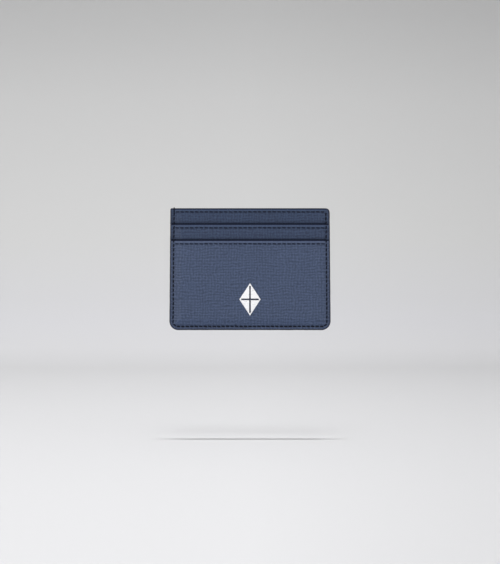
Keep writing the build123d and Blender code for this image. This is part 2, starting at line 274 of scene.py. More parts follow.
def worked_face(panel, x, z):
    """Depth of a leather's outer face with its stitch grooves, hem roll and grain.

    Also gives shares for the colour: how deep in a crease, with painted shade in the stitch grooves and
    needle holes and a darker border, a painted highlight along each hem, and painted shadow on a leather
    just above the mouth below, where it goes down behind that pocket.
    """
    depth = calm_face(panel, x, z)
    inset = inset_from_edge(x, z)
    from_seam = inset_from_edge(x, z, SEAM_INSET, SEAM_CORNER)
    in_row = z < HEIGHT - HEM_DROP + 0.4
    groove = bump(from_seam, 0.45) * in_row
    depth = depth - 0.12 * groove
    depth = depth + 0.10 * bump(from_seam - 1.25, 0.8) * in_row
    depth = depth + 0.05 * bump(from_seam + 1.1, 0.6)
    depth = depth - 0.30 * np.clip(1 - inset / 1.05, 0, 1) ** 2
    holes = dimples(x, z, needle_points(SEAM_HOLES), 0.28)
    from_mouth = panel.high - z
    inside_ends = smooth((side_inset(x, z) - SEAM_INSET - 0.2) / 0.6)
    row = bump(from_mouth - HEM_DROP, 0.38) * inside_ends
    roll = smooth(1 - np.abs(from_mouth - HEM_DROP * 0.47) / (HEM_DROP * 0.62))
    depth = depth - 0.12 * row + 0.09 * roll * inside_ends
    depth = depth + 0.05 * bump(from_mouth - HEM_DROP - 0.95, 0.6) * inside_ends
    holes = np.maximum(holes, dimples(x, z, needle_points(hem_line(panel)), 0.28))
    depth = depth - 0.10 * holes
    ridges = grain(x, z + panel.shift)
    quiet = 1 - 0.55 * np.maximum(groove, row) - 0.35 * roll
    depth = depth + GRAIN_DEPTH * (ridges - 1) * quiet
    depth = depth + 0.010 * noise(x * 3.1, z * 3.1)
    # Painted highlight: a lighter band just under each mouth and over the roll, where the hem catches light
    # from above.
    hem_highlight = np.clip(0.95 * bump(from_mouth - 1.15, 0.5) + 0.35 * roll, 0, 1)
    border = smooth(0.5 - from_seam / 0.7)
    shade = 0.4 - 0.4 * ridges * quiet + 0.12 * groove + 0.06 * row + 0.35 * holes + 0.10 * border
    return depth, np.clip(shade, 0, 1), hem_highlight, painted_mouth_shadow(panel, x, z)


def painted_mouth_shadow(panel, x, z):
    """Painted shadow on a leather just above the mouth that it goes down behind. It fades past the right
    seam.
    """
    if panel is POCKET:
        return np.zeros_like(x)
    above = z - (UPPER.high if panel is LEAF else POCKET.high)
    near = smooth(1.1 - above / 1.35)
    far = 0.30 * np.exp(-np.maximum(above, 0) / 3.5)
    before_seam = smooth((half_width(z) - SEAM_INSET + 0.4 - x) / 0.6)
    return np.clip(near + far, 0, 1) * (0.25 + 0.75 * before_seam)


def outer_face(x, z):
    """Depth of whichever leather lies outermost at a height, without its grain."""
    depth = calm_face(LEAF, x, z)
    depth = np.where(z < UPPER.high, calm_face(UPPER, x, z), depth)
    return np.where(z < POCKET.high, calm_face(POCKET, x, z), depth)


# ---------------------------------------------------------------- meshes


def make_object(name, points, faces, attributes=None):
    """Smooth-shaded mesh object from points in millimetres."""
    mesh = bpy.data.meshes.new(name)
    mesh.from_pydata((np.asarray(points) * MM).tolist(), [], faces)
    mesh.polygons.foreach_set("use_smooth", [True] * len(mesh.polygons))
    for key, values in (attributes or {}).items():
        layer = mesh.attributes.new(key, "FLOAT", "POINT")
        layer.data.foreach_set("value", np.asarray(values, np.float32).ravel())
    mesh.update()
    made = bpy.data.objects.new(name, mesh)
    bpy.context.scene.collection.objects.link(made)
    return made


def grid_faces(rows, columns, wrap_rows=False, wrap_columns=False, start=0):
    """Four-sided faces of a grid whose points run along each row in turn."""
    row_ids = np.arange(rows if wrap_rows else rows - 1)
    column_ids = np.arange(columns if wrap_columns else columns - 1)
    r, c = np.meshgrid(row_ids, column_ids, indexing="ij")
    r_next, c_next = (r + 1) % rows, (c + 1) % columns
    corners = [r * columns + c, r * columns + c_next, r_next * columns + c_next, r_next * columns + c]
    return (np.stack(corners, -1).reshape(-1, 4) + start).tolist()


def outward(faces, side):
    """Turns faces over on the front, so that the same grid faces outwards on both sides."""
    return faces if side > 0 else [face[::-1] for face in faces]


def corner_pull(z, corner, low_end, high_end, at_top):
    """How far a rounded corner draws the side in at a height."""
    into = z - (high_end - corner) if at_top else (low_end + corner) - z
    into = np.clip(into, 0, corner)
    return corner - np.sqrt(np.maximum(corner**2 - into**2, 0))


def sides_at(panel, z):
    """Left and right end of a leather at a height, inside the paint."""
    left = -(half_width(z) - PAINT)
    right = half_width(z) - PAINT
    if panel.low < BOTTOM_CORNER:
        pull = corner_pull(z, BOTTOM_CORNER - PAINT, panel.low, 0, False)
        left, right = left + pull, right - pull
    if panel.high > HEIGHT - 1:
        left = left + corner_pull(z, TOP_LEFT_CORNER, 0, panel.high, True)
        right = right - corner_pull(z, TOP_RIGHT_CORNER, 0, panel.high, True)
    return left, right


def spaced(start, end, step):
    """Numbers from start to end, about one step apart."""
    return np.linspace(start, end, max(2, round(abs(end - start) / step) + 1))


def row_heights(panel, step, high):
    """Heights of a leather's rows, closer together round the bottom corners."""
    if panel.low > BOTTOM_CORNER:
        return spaced(panel.low, high, step)
    radius = BOTTOM_CORNER - PAINT
    angles = np.linspace(0, math.pi / 2, max(6, round(radius * 1.5 / step)))
    corner = panel.low + radius * (1 - np.cos(angles))
    return np.concatenate([corner[:-1], spaced(corner[-1], high, step)])


def leather(side_name, panel):
    """A leather with its turned hem, as one closed skin."""
    side = SIDES[side_name]
    roll = panel.fold / 2
    shares = spaced(0, 1, STEP / (2 * half_width(panel.low)))
    ends = np.array([0.0012, 0.0028, 0.0045])
    shares = np.unique(np.concatenate([shares, ends, 1 - ends]))
    rows = []

    def add_rows(heights, kind):
        for z in heights:
            rows.append((z, kind))

    add_rows(row_heights(panel, STEP, panel.high - roll), "face")
    turns = np.linspace(0, math.pi, 9)[1:-1]
    for turn in turns:
        rows.append((panel.high - roll + roll * math.sin(turn), turn))
    add_rows(spaced(panel.high - roll, panel.high - FLAP, 0.9), "flap")
    rows.append((panel.high - FLAP, "flap_end"))
    add_rows(row_heights(panel, BACK_STEP, panel.high - FLAP - 0.3)[::-1], "back")

    heights = np.array([row[0] for row in rows])
    left, right = sides_at(panel, heights)
    x = left[:, None] + (right - left)[:, None] * shares[None, :]
    z = np.repeat(heights[:, None], len(shares), 1)
    calm = calm_face(panel, x, z)
    worked, shade, hem_highlight, behind = worked_face(panel, x, z)
    mouth = calm_face(panel, x, np.full_like(z, panel.high - roll))
    worked_mouth = worked_face(panel, x, np.full_like(z, panel.high - roll))[0]
    up = rise(panel, x, np.full_like(z, panel.high))
    fold = LEATHER + (panel.fold - LEATHER) * up
    depth = np.empty_like(x)
    # Dark band down from each mouth's top and over its roll: edge paint on the fold, and painted shadow of
    # the opening behind it.
    rim = smooth((z - panel.high + panel.rim) / 0.2)
    for i, (_, kind) in enumerate(rows):
        if kind == "face":
            depth[i] = worked[i]
        elif kind == "flap":
            depth[i] = calm[i] - fold[i]
        elif kind == "flap_end":
            depth[i] = calm[i] - fold[i] + FLAP_THICKNESS
        elif kind == "back":
            depth[i] = calm[i] - LEATHER
        else:
            start = worked_mouth[i]
            end = mouth[i] - fold[i]
            depth[i] = (start + end) / 2 + (start - end) / 2 * math.cos(kind)
            shade[i] *= 0.5
    to_end = np.minimum(x - left[:, None], right[:, None] - x)
    kept = smooth(to_end / 0.32)
    middle = calm - LEATHER / 2
    depth = middle + (depth - middle) * kept
    points = np.stack([x, side * depth, z], -1).reshape(-1, 3)
    faces = outward(grid_faces(len(rows), len(shares), wrap_rows=True), -side)
    node = f"{side_name}_{panel.name}_leather"
    marks = {"shade": shade, "hem_highlight": hem_highlight, "rim": rim, "painted_mouth_shadow": behind}
    made = make_object(node + "_skin", points, faces, marks)
    return finish_piece(made, LEATHERS[panel.name], node)


def tube_faces(rings, sides, start):
    faces = grid_faces(rings, sides, wrap_columns=True, start=start)
    faces.append([start + i for i in reversed(range(sides))])
    faces.append([start + (rings - 1) * sides + i for i in range(sides)])
    return faces


def taut(t, depth):
    """Upper hull of a depth profile, the way a tight thread bridges what it crosses."""
    keep = [0]
    for i in range(1, len(t)):
        while len(keep) > 1:
            a, b = keep[-2], keep[-1]
            if (depth[b] - depth[a]) * (t[i] - t[a]) < (depth[i] - depth[a]) * (t[b] - t[a]):
                keep.pop()
            else:
                break
        keep.append(i)
    return np.interp(t, t[keep], depth[keep])


STITCH_RINGS = 19
THREAD_SIDES = 18
PLIES = 3
TURNS_PER_LENGTH = 2 * math.pi * 1.3


def twisted(centre, sideways, turns, thickness):
    """Rings of a twisted thread round a line of points."""
    around = np.linspace(0, 2 * math.pi, THREAD_SIDES, endpoint=False)
    heading = np.gradient(centre, axis=0)
    heading /= np.linalg.norm(heading, axis=1)[:, None]
    lift = np.cross(sideways, heading)
    lift /= np.linalg.norm(lift, axis=1)[:, None]
    lobes = np.abs(np.cos((around[None, :] - turns[:, None] / PLIES) * PLIES / 2))
    radius = thickness * (0.76 + 0.32 * lobes)
    across, up = np.cos(around)[None, :, None] * sideways, np.sin(around)[None, :, None] * lift[:, None, :]
    return centre[:, None, :] + radius[..., None] * (across + up)


def stitches(name, side, holes, face, node, thickness, slant=0.10, seed=0, wraps_top=False):
    """Row of twisted thread stitches between needle holes, each dipping into the leather at its ends."""
    random = np.random.default_rng(SEED + seed)
    t = np.linspace(0, 1, STITCH_RINGS)
    t = 0.5 - 0.5 * np.cos(math.pi * t)
    rings = []
    for a, b in zip(holes[:-1], holes[1:]):
        run = b - a
        length = np.hypot(*run)
        along = run / length
        across = np.array([-along[1], along[0]])
        lean = slant * (1 + 0.5 * random.uniform(-1, 1))
        wobble = random.uniform(-0.03, 0.03)
        start = a + along * STITCH_GAP / 2 + across * (lean + wobble)
        end = b - along * STITCH_GAP / 2 - across * (lean - wobble)
        flat = start + (end - start) * t[:, None]
        flat = flat + across * (0.03 * np.sin(math.pi * t) * random.uniform(-1, 1))[:, None]
        depth = taut(t, face(flat[:, 0], flat[:, 1]) - 0.13)
        dip = np.exp(-((t / 0.075) ** 2)) + np.exp(-(((1 - t) / 0.075) ** 2))
        crown = 0.05 * np.sin(math.pi * t)
        depth = depth + thickness * 0.72 + crown - 0.55 * dip
        centre = np.stack([flat[:, 0], side * depth, flat[:, 1]], -1)
        turns = TURNS_PER_LENGTH * length * t + random.uniform(0, 6)
        sideways = np.array([across[0], 0, across[1]]) * side
        fullness = 1 + 0.05 * random.uniform(-1, 1) + (LOW_SWELL if max(a[1], b[1]) < BOTTOM_CORNER else 0)
        rings.append(twisted(centre, sideways, turns, thickness * fullness))
    if wraps_top:
        rings.append(wrap_ring(holes[0], face, thickness))
    faces, start = [], 0
    for ring in rings:
        faces += tube_faces(len(ring), THREAD_SIDES, start)
        start += len(ring) * THREAD_SIDES
    points = np.concatenate([ring.reshape(-1, 3) for ring in rings])
    made = make_object(name, points, faces)
    return finish_piece(made, THREAD, node)


def wrap_ring(hole, face, thickness):
    """The seam's first stitch, which goes over the top edge from the front to the back."""
    x, z = hole
    rise_z = spaced(z - 0.1, HEIGHT - 0.25, 0.25)
    flat = face(np.full_like(rise_z, x), rise_z) + thickness * 0.6
    flat[0] -= 0.5
    turn = np.linspace(0, math.pi, 12)[1:-1]
    reach = flat[-1]
    y = np.concatenate([-flat, -reach * np.cos(turn), flat[::-1]])
    over = HEIGHT - 0.25 + (0.25 + thickness * 0.8) * np.sin(turn)
    height = np.concatenate([rise_z, over, rise_z[::-1]])
    centre = np.stack([np.full_like(y, x), y, height], -1)
    length = np.concatenate([[0], np.cumsum(np.linalg.norm(np.diff(centre, axis=0), axis=1))])
    return twisted(centre, np.array([1.0, 0, 0]), TURNS_PER_LENGTH * length, thickness)


def outline_path():
    """The painted edge's line from the top left corner to the top right one, with its outward ways."""
    low_half = half_width(BOTTOM_CORNER)
    points, ways = [], []

    def arc(cx, cz, radius, start, end, count):
        for a in np.linspace(start, end, count):
            points.append((cx + radius * math.cos(a), cz + radius * math.sin(a)))
            ways.append((math.cos(a), math.sin(a)))

    pi = math.pi
    top_left = HEIGHT - TOP_LEFT_CORNER - 0.3
    arc(-half_width(HEIGHT) + TOP_LEFT_CORNER, top_left, TOP_LEFT_CORNER, 0.62 * pi, pi, 6)
    for z in spaced(top_left - 0.1, BOTTOM_CORNER + 0.2, 0.13):
        points.append((-half_width(z), z))
        ways.append((-1, 0))
    arc(-low_half + BOTTOM_CORNER, BOTTOM_CORNER, BOTTOM_CORNER, pi, 1.5 * pi, 22)
    for x in spaced(-low_half + BOTTOM_CORNER + 0.3, low_half - BOTTOM_CORNER - 0.3, 0.5):
        points.append((x, 0))
        ways.append((0, -1))
    arc(low_half - BOTTOM_CORNER, BOTTOM_CORNER, BOTTOM_CORNER, 1.5 * pi, 2 * pi, 22)
    for z in spaced(BOTTOM_CORNER + 0.2, HEIGHT - TOP_RIGHT_CORNER - 0.2, 0.13):
        points.append((half_width(z), z))
        ways.append((1, 0))
    arc(half_width(HEIGHT) - TOP_RIGHT_CORNER, HEIGHT - TOP_RIGHT_CORNER, TOP_RIGHT_CORNER, 0, 0.47 * pi, 14)
    return np.array(points), np.array(ways)


def seam_half_depth(z):
    """Half the seam's thickness, stepping in at each mouth."""
    depth = LEAF.seam + (UPPER.seam - LEAF.seam) * smooth((UPPER.high + 0.22 - z) / 0.4)
    return depth + (POCKET.seam - UPPER.seam) * smooth((POCKET.high + 0.22 - z) / 0.4)


def edge_bead():
    """Glossy painted bead on the cut edges, with the faint lines of the layers under it."""
    points, ways = outline_path()
    half = seam_half_depth(points[:, 1]) + 0.05
    along = np.concatenate([[0], np.cumsum(np.hypot(*np.diff(points, axis=0).T))])
    turn = np.linspace(-math.pi / 2, math.pi / 2, 25)
    lap, power = 0.42, 0.5
    out = np.cos(turn) ** power * (PAINT + lap) - PAINT - lap
    across = np.sign(np.sin(turn)) * np.abs(np.sin(turn)) ** power
    rings = []
    for (x, z), way, depth, place in zip(points, ways, half, along):
        y = depth * across * (1 + 0.02 * noise(place * 0.4, across))
        ripple = 0.018 * np.sin(y * 2 * math.pi / 0.95 + 1.2) * np.cos(turn)
        swell = 0.05 * noise(place * 0.55, y * 0.8 + 40) * np.cos(turn)
        reach = out + ripple + swell
        rings.append(np.stack([x + way[0] * reach, y, z + way[1] * reach], -1))
        inner_x = x - way[0] * 1.1
        inner_z = z - way[1] * 1.1
        core = np.array([[inner_x, depth * 0.6, inner_z], [inner_x, -depth * 0.6, inner_z]])
        rings[-1] = np.concatenate([rings[-1], core])
    rings = np.array(rings)
    stations, sides = rings.shape[:2]
    faces = tube_faces(stations, sides, 0)
    made = make_object("edge_paint_bead", rings.reshape(-1, 3), [f[::-1] for f in faces])
    return finish_piece(made, EDGE_PAINT, "edge_paint")


PLATE_STEP = 1.3
PLATE_WAVE = 0.02


def soft_plate(name, node, material):
    """Flat layer that fills a frame node's box: rounded corners, softened edges and a slight waviness."""
    low, high = box(node)
    thickness = high[1] - low[1]
    xs = spaced(0, 1, PLATE_STEP / (high[0] - low[0]))
    zs = spaced(0, 1, PLATE_STEP / (high[2] - low[2]))
    rim = 0.35 * thickness
    u, v = np.meshgrid(xs, zs, indexing="ij")
    x = low[0] + rim + (high[0] - low[0] - 2 * rim) * u
    z = low[2] + rim + (high[2] - low[2] - 2 * rim) * v
    lean = half_width(z) / half_width(low[2])
    x = x * lean
    middle = (low[1] + high[1]) / 2 + PLATE_WAVE * noise(x * 0.1, z * 0.1)
    half = thickness / 2 - 0.004
    front = np.stack([x, middle - half, z], -1)
    back = np.stack([x, middle + half, z], -1)
    grown = front.copy()
    grown[..., 1] = middle
    on_left, on_right = u == 0, u == 1
    on_low, on_high = v == 0, v == 1
    rim_x = rim * (on_right.astype(float) - on_left)
    rim_z = rim * (on_high.astype(float) - on_low)
    grown[..., 0] += rim_x
    grown[..., 2] += rim_z
    rows, columns = u.shape
    count = rows * columns
    faces = grid_faces(rows, columns)
    faces += [f[::-1] for f in grid_faces(rows, columns, start=count)]
    ring = [(i, 0) for i in range(rows)] + [(rows - 1, j) for j in range(1, columns)]
    ring += [(i, columns - 1) for i in range(rows - 2, -1, -1)] + [(0, j) for j in range(columns - 2, 0, -1)]
    ring_ids = [i * columns + j for i, j in ring]
    edge_points = [grown[i, j] for i, j in ring]
    for k in range(len(ring)):
        m = (k + 1) % len(ring)
        a, b = ring_ids[k], ring_ids[m]
        ea, eb = 2 * count + k, 2 * count + m
        faces.append([b, a, ea, eb])
        faces.append([eb, ea, a + count, b + count])
    points = np.concatenate([front.reshape(-1, 3), back.reshape(-1, 3), np.array(edge_points)])
    made = make_object(name, points, faces)
    return finish_piece(made, material, node)


def seam_strip(side_name, node, top, depth_low, depth_high, material, slot):
    """Narrow strip that lies in the seam, down one side, along the bottom and up the other."""
    side = SIDES[side_name]
    inner, outer = SEAM_WIDTH - 0.1, PAINT + 0.05
    stations = []
    low_half = half_width(BOTTOM_CORNER)
    for z in spaced(top, BOTTOM_CORNER, 1.5):
        stations.append(((-half_width(z), z), (-1, 0)))
    for a in np.linspace(math.pi, 1.5 * math.pi, 9)[1:-1]:
        way = (math.cos(a), math.sin(a))
        centre = (-low_half + BOTTOM_CORNER, BOTTOM_CORNER)
        stations.append(((centre[0] + BOTTOM_CORNER * way[0], centre[1] + BOTTOM_CORNER * way[1]), way))
    for x in spaced(-low_half + BOTTOM_CORNER, 0, 1.5)[:-1]:
        stations.append(((x, 0), (0, -1)))
    mirrored = [((-p[0], p[1]), (-w[0], w[1])) for p, w in reversed(stations)]
    stations += [((0, 0), (0, -1))] + mirrored
    rings = []
    middle = (depth_low + depth_high) / 2
    half = (depth_high - depth_low) / 2
    turn = np.linspace(0, 2 * math.pi, 12, endpoint=False)
    for (x, z), way in stations:
        mid_inset, half_inset = (inner + outer) / 2, (inner - outer) / 2
        c, s = np.cos(turn), np.sin(turn)
        inset = mid_inset - half_inset * np.sign(c) * np.abs(c) ** 0.3
        depth = middle + half * np.sign(s) * np.abs(s) ** 0.3
        rings.append(np.stack([x - way[0] * inset, side * depth, z - way[1] * inset], -1))
    rings = np.array(rings)
    faces = tube_faces(len(stations), 12, 0)
    made = make_object(node + "_strip", rings.reshape(-1, 3), outward(faces, side))
    return finish_piece(made, material, node)


def finish_piece(made, material, node):
    """Material, place on the frame, and the frame node that the piece stands for."""
    made.data.materials.append(material)
    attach(made, "root")
    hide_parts(node)
    return made


# ---------------------------------------------------------------- materials


class Shader:
    """A material whose nodes are added one call at a time."""

    def __init__(self, name):
        self.material = bpy.data.materials.new(name)
        self.material.use_nodes = True
        self.tree = self.material.node_tree
        self.surface = self.tree.nodes["Principled BSDF"]

    def feed(self, socket, value):
        if isinstance(value, bpy.types.NodeSocket):
            self.tree.links.new(value, socket)
        else:
            socket.default_value = value

    def add(self, kind, inputs=None, **settings):
        made = self.tree.nodes.new(kind)
        for key, value in settings.items():
            setattr(made, key, value)
        for key, value in (inputs or {}).items():
            self.feed(made.inputs[key], value)
        return made

    def place(self, scale):
        """Position on the piece, scaled per axis, in waves per metre."""
        where = self.add("ShaderNodeTexCoord").outputs["Object"]
        return self.add("ShaderNodeMapping", {"Vector": where, "Scale": scale}).outputs["Vector"]

    def noise(self, scale, detail=4.0, roughness=0.55):
        inputs = {"Vector": self.place(scale), "Scale": 1.0, "Detail": detail, "Roughness": roughness}
        return self.add("ShaderNodeTexNoise", inputs).outputs["Fac"]

    def math(self, operation, a, b=0.0, clamp=False):
        made = self.add("ShaderNodeMath", {0: a, 1: b}, operation=operation, use_clamp=clamp)
        return made.outputs["Value"]

    def ramp(self, value, low, high, to_low=0.0, to_high=1.0):
        inputs = {"Value": value, "From Min": low, "From Max": high, "To Min": to_low, "To Max": to_high}
        return self.add("ShaderNodeMapRange", inputs).outputs["Result"]

    def mix(self, share, a, b, blend="MIX"):
        made = self.add("ShaderNodeMix", data_type="RGBA", blend_type=blend)
        self.feed(made.inputs["Factor"], share)
        self.feed(made.inputs["A"], a)
        self.feed(made.inputs["B"], b)
        return made.outputs["Result"]

    def value(self, name):
        return self.add("ShaderNodeAttribute", attribute_name=name).outputs["Fac"]

    def bump(self, height, distance, strength=1.0):
        inputs = {"Height": height, "Distance": distance, "Strength": strength}
        return self.add("ShaderNodeBump", inputs).outputs["Normal"]

    def set(self, **inputs):
        for key, value in inputs.items():
            self.feed(self.surface.inputs[key.replace("_", " ")], value)
        return self.material


def colour(red, green, blue, tint=(1.0, 1.0, 1.0)):
    return (red * tint[0], green * tint[1], blue * tint[2], 1.0)


def leather_material(name, tint):
    s = Shader(name)
    mottle = s.noise((90, 90, 90), 5.0, 0.6)
    cloud = s.noise((22, 22, 26), 3.0)
    pores = s.noise((2600, 2600, 3400), 3.0, 0.6)
    dark = colour(0.025, 0.042, 0.090, tint)
    light = colour(0.031, 0.050, 0.102, tint)
    base = s.mix(s.ramp(cloud, 0.35, 0.65), dark, light)
    base = s.mix(s.ramp(mottle, 0.3, 0.75, 0.0, 0.55), base, colour(0.038, 0.059, 0.115, tint))
    pebble = s.noise((620, 620, 860), 2.0)
    base = s.mix(s.ramp(pebble, 0.35, 0.65, 0.0, 0.35), base, colour(0.050, 0.076, 0.150, tint))
    base = s.mix(s.ramp(s.value("shade"), 0.45, 0.0, 0.0, 0.5), base, colour(0.066, 0.096, 0.176, tint))
    base = s.mix(s.ramp(s.value("shade"), 0.35, 1.1, 0.0, 0.85), base, colour(0.009, 0.016, 0.040, tint))
    # Painted highlight along each hem.
    base = s.mix(s.ramp(s.value("hem_highlight"), 0.25, 1.0, 0.0, 0.45), base, colour(0.078, 0.108, 0.190, tint))
    # Dark mouth rim: edge paint on the fold, and painted shadow of the opening behind it.
    base = s.mix(s.ramp(s.value("rim"), 0.25, 0.7), base, colour(0.007, 0.011, 0.028))
    base = s.mix(s.ramp(pores, 0.56, 0.72, 0.0, 0.35), base, colour(0.020, 0.029, 0.060, tint))
    # Painted shadow just above each mouth, where the pocket in front hides the leather behind.
    base = s.mix(s.ramp(s.value("painted_mouth_shadow"), 0, 1), base, colour(0.007, 0.011, 0.026))
    # Less shine where the dark rim and the shadow above each mouth are painted.
    hidden = s.math("MAXIMUM", s.value("rim"), s.value("painted_mouth_shadow"))
    rough = s.math("ADD", s.ramp(mottle, 0.3, 0.7, 0.40, 0.50), s.ramp(s.value("shade"), 0, 1, 0.0, 0.18))
    fine = s.noise((1500, 1500, 2300), 5.0, 0.62)
    height = s.math("ADD", s.math("MULTIPLY", fine, 0.7), s.math("MULTIPLY", pores, 0.45))
    return s.set(
        Base_Color=base,
        Roughness=rough,
        Normal=s.bump(height, 0.00010, 0.8),
        Specular_IOR_Level=s.ramp(hidden, 0.0, 1.0, 0.36, 0.08),
    )


def thread_material():
    s = Shader("thread")
    fibre = s.noise((5200, 5200, 5200), 3.0, 0.7)
    tint = s.noise((160, 160, 160), 2.0)
    base = s.mix(s.ramp(fibre, 0.35, 0.7), colour(0.0018, 0.0026, 0.0075), colour(0.007, 0.010, 0.022))
    base = s.mix(s.ramp(tint, 0.4, 0.7, 0.0, 0.4), base, colour(0.005, 0.007, 0.017))
    return s.set(
        Base_Color=base, Roughness=s.ramp(fibre, 0.3, 0.7, 0.55, 0.75),
        Normal=s.bump(fibre, 0.00005, 0.9), Specular_IOR_Level=0.15,
    )


def fabric_material(name, dark, light):
    """Fine twill: two sets of diagonal yarns."""
    s = Shader(name)
    waves = []
    for turn in (0.79, -0.79):
        where = s.add("ShaderNodeTexCoord").outputs["Object"]
        spun = s.add("ShaderNodeMapping", {"Vector": where, "Rotation": (0, turn, 0), "Scale": (1, 1, 1)})
        wave = s.add(
            "ShaderNodeTexWave",
            {"Vector": spun.outputs["Vector"], "Scale": 900.0, "Distortion": 0.6, "Detail": 2.0},
        )
        waves.append(wave.outputs["Fac"])
    weave = s.math("ADD", s.math("MULTIPLY", waves[0], 0.65), s.math("MULTIPLY", waves[1], 0.35))
    slub = s.noise((300, 300, 1200), 3.0)
    base = s.mix(s.ramp(weave, 0.2, 0.8), dark, light)
    base = s.mix(s.ramp(slub, 0.45, 0.75, 0.0, 0.4), base, dark)
    return s.set(
        Base_Color=base, Roughness=s.ramp(slub, 0.3, 0.7, 0.72, 0.88),
        Normal=s.bump(weave, 0.00006, 0.8), Sheen_Weight=0.35,
    )


def fibre_material(name, dark, light, scale=(400, 400, 400)):
    """Pressed board or bonded leather: short fibres and specks."""
    s = Shader(name)
    fibre = s.noise(scale, 6.0, 0.7)
    speck = s.noise((2400, 2400, 2400), 2.0)
    base = s.mix(s.ramp(fibre, 0.3, 0.7), dark, light)
    base = s.mix(s.ramp(speck, 0.6, 0.72, 0.0, 0.5), base, dark)
    return s.set(
        Base_Color=base, Roughness=s.ramp(fibre, 0.3, 0.7, 0.78, 0.92), Normal=s.bump(fibre, 0.00006, 0.7)
    )


def paint_material():
    s = Shader("edge_paint")
    flow = s.noise((260, 900, 260), 3.0)
    dust = s.noise((3000, 3000, 3000), 2.0)
    base = s.mix(s.ramp(flow, 0.35, 0.7), colour(0.007, 0.011, 0.028), colour(0.012, 0.019, 0.044))
    return s.set(
        Base_Color=base,
        Roughness=s.math("ADD", s.ramp(flow, 0.3, 0.7, 0.32, 0.44), s.ramp(dust, 0.55, 0.7, 0, 0.12)),
        Normal=s.bump(flow, 0.00008, 0.5),
        Specular_IOR_Level=0.24,
    )


def metal_material(name, base, rough, lines, metallic=1.0):
    s = Shader(name)
    brush = s.noise(lines, 3.0, 0.6)
    haze = s.noise((240, 240, 240), 3.0)
    dull = [0.86 * part for part in base]
    base = s.mix(s.ramp(haze, 0.4, 0.7, 0.0, 0.5), colour(*base), colour(*dull))
    total = s.math("ADD", s.ramp(brush, 0.3, 0.7, rough, rough + 0.08), s.ramp(haze, 0.4, 0.7, 0.0, 0.05))
    return s.set(
        Base_Color=base, Metallic=metallic, Roughness=total, Normal=s.bump(brush, 0.000006, 0.5)
    )


def enamel_material():
    s = Shader("enamel")
    depth = s.noise((900, 900, 900), 3.0)
    base = s.mix(s.ramp(depth, 0.3, 0.7), colour(0.012, 0.016, 0.032), colour(0.026, 0.032, 0.060))
    return s.set(Base_Color=base, Roughness=s.ramp(depth, 0.3, 0.7, 0.12, 0.22), Coat_Weight=0.5)


# Three copies of one leather that differ only by tint: the darker ones are painted shade.
LEATHERS = {p.name: leather_material("leather_" + p.name, p.tint) for p in (LEAF, UPPER, POCKET)}
THREAD = thread_material()
LINING = fabric_material("pocket_fabric", colour(0.012, 0.015, 0.028), colour(0.042, 0.050, 0.084))
BOARD = fibre_material("card_board", colour(0.13, 0.11, 0.09), colour(0.30, 0.26, 0.21))
BONDED = fibre_material("bonded_leather", colour(0.020, 0.023, 0.034), colour(0.060, 0.066, 0.090))
EDGE_PAINT = paint_material()
METAL = metal_material("polished_metal", (0.93, 0.93, 0.945), 0.24, (300, 300, 6000), 0.85)
STEEL = metal_material("steel", (0.48, 0.48, 0.50), 0.32, (6000, 300, 300))
ENAMEL = enamel_material()

# ---------------------------------------------------------------- emblem


def prism(bm, outline, depth_low, depth_high, rise_at=None):
    """Flat-bottomed block over an outline of (x, z) points, towards the front."""
    low = [bm.verts.new((x, -depth_low, z)) for x, z in outline]
    high = [bm.verts.new((x, -depth_high - (rise_at(x, z) if rise_at else 0), z)) for x, z in outline]
    bm.faces.new(low)
    bm.faces.new(high[::-1])
    for i in range(len(outline)):
        j = (i + 1) % len(outline)
        bm.faces.new([low[j], low[i], high[i], high[j]])
    return low + high


def bevelled(name, blocks, width, segments, material, node):
    """Blocks in one mesh with rounded edges."""
    bm = bmesh.new()
    for block in blocks:
        prism(bm, *block)
    bmesh.ops.recalc_face_normals(bm, faces=bm.faces)
    bmesh.ops.bevel(bm, geom=bm.edges, offset=width, segments=segments, profile=0.6, affect="EDGES")
    bmesh.ops.subdivide_edges(
        bm, edges=[e for e in bm.edges if e.calc_length() > 1.2], cuts=3, use_grid_fill=True
    )
    for v in bm.verts:
        v.co *= MM
    mesh = bpy.data.meshes.new(name)
    bm.to_mesh(mesh)
    bm.free()
    mesh.shade_smooth()
    made = bpy.data.objects.new(name, mesh)
    bpy.context.scene.collection.objects.link(made)
    made.modifiers.new("flat faces stay flat", "WEIGHTED_NORMAL")
    return finish_piece(made, material, node)


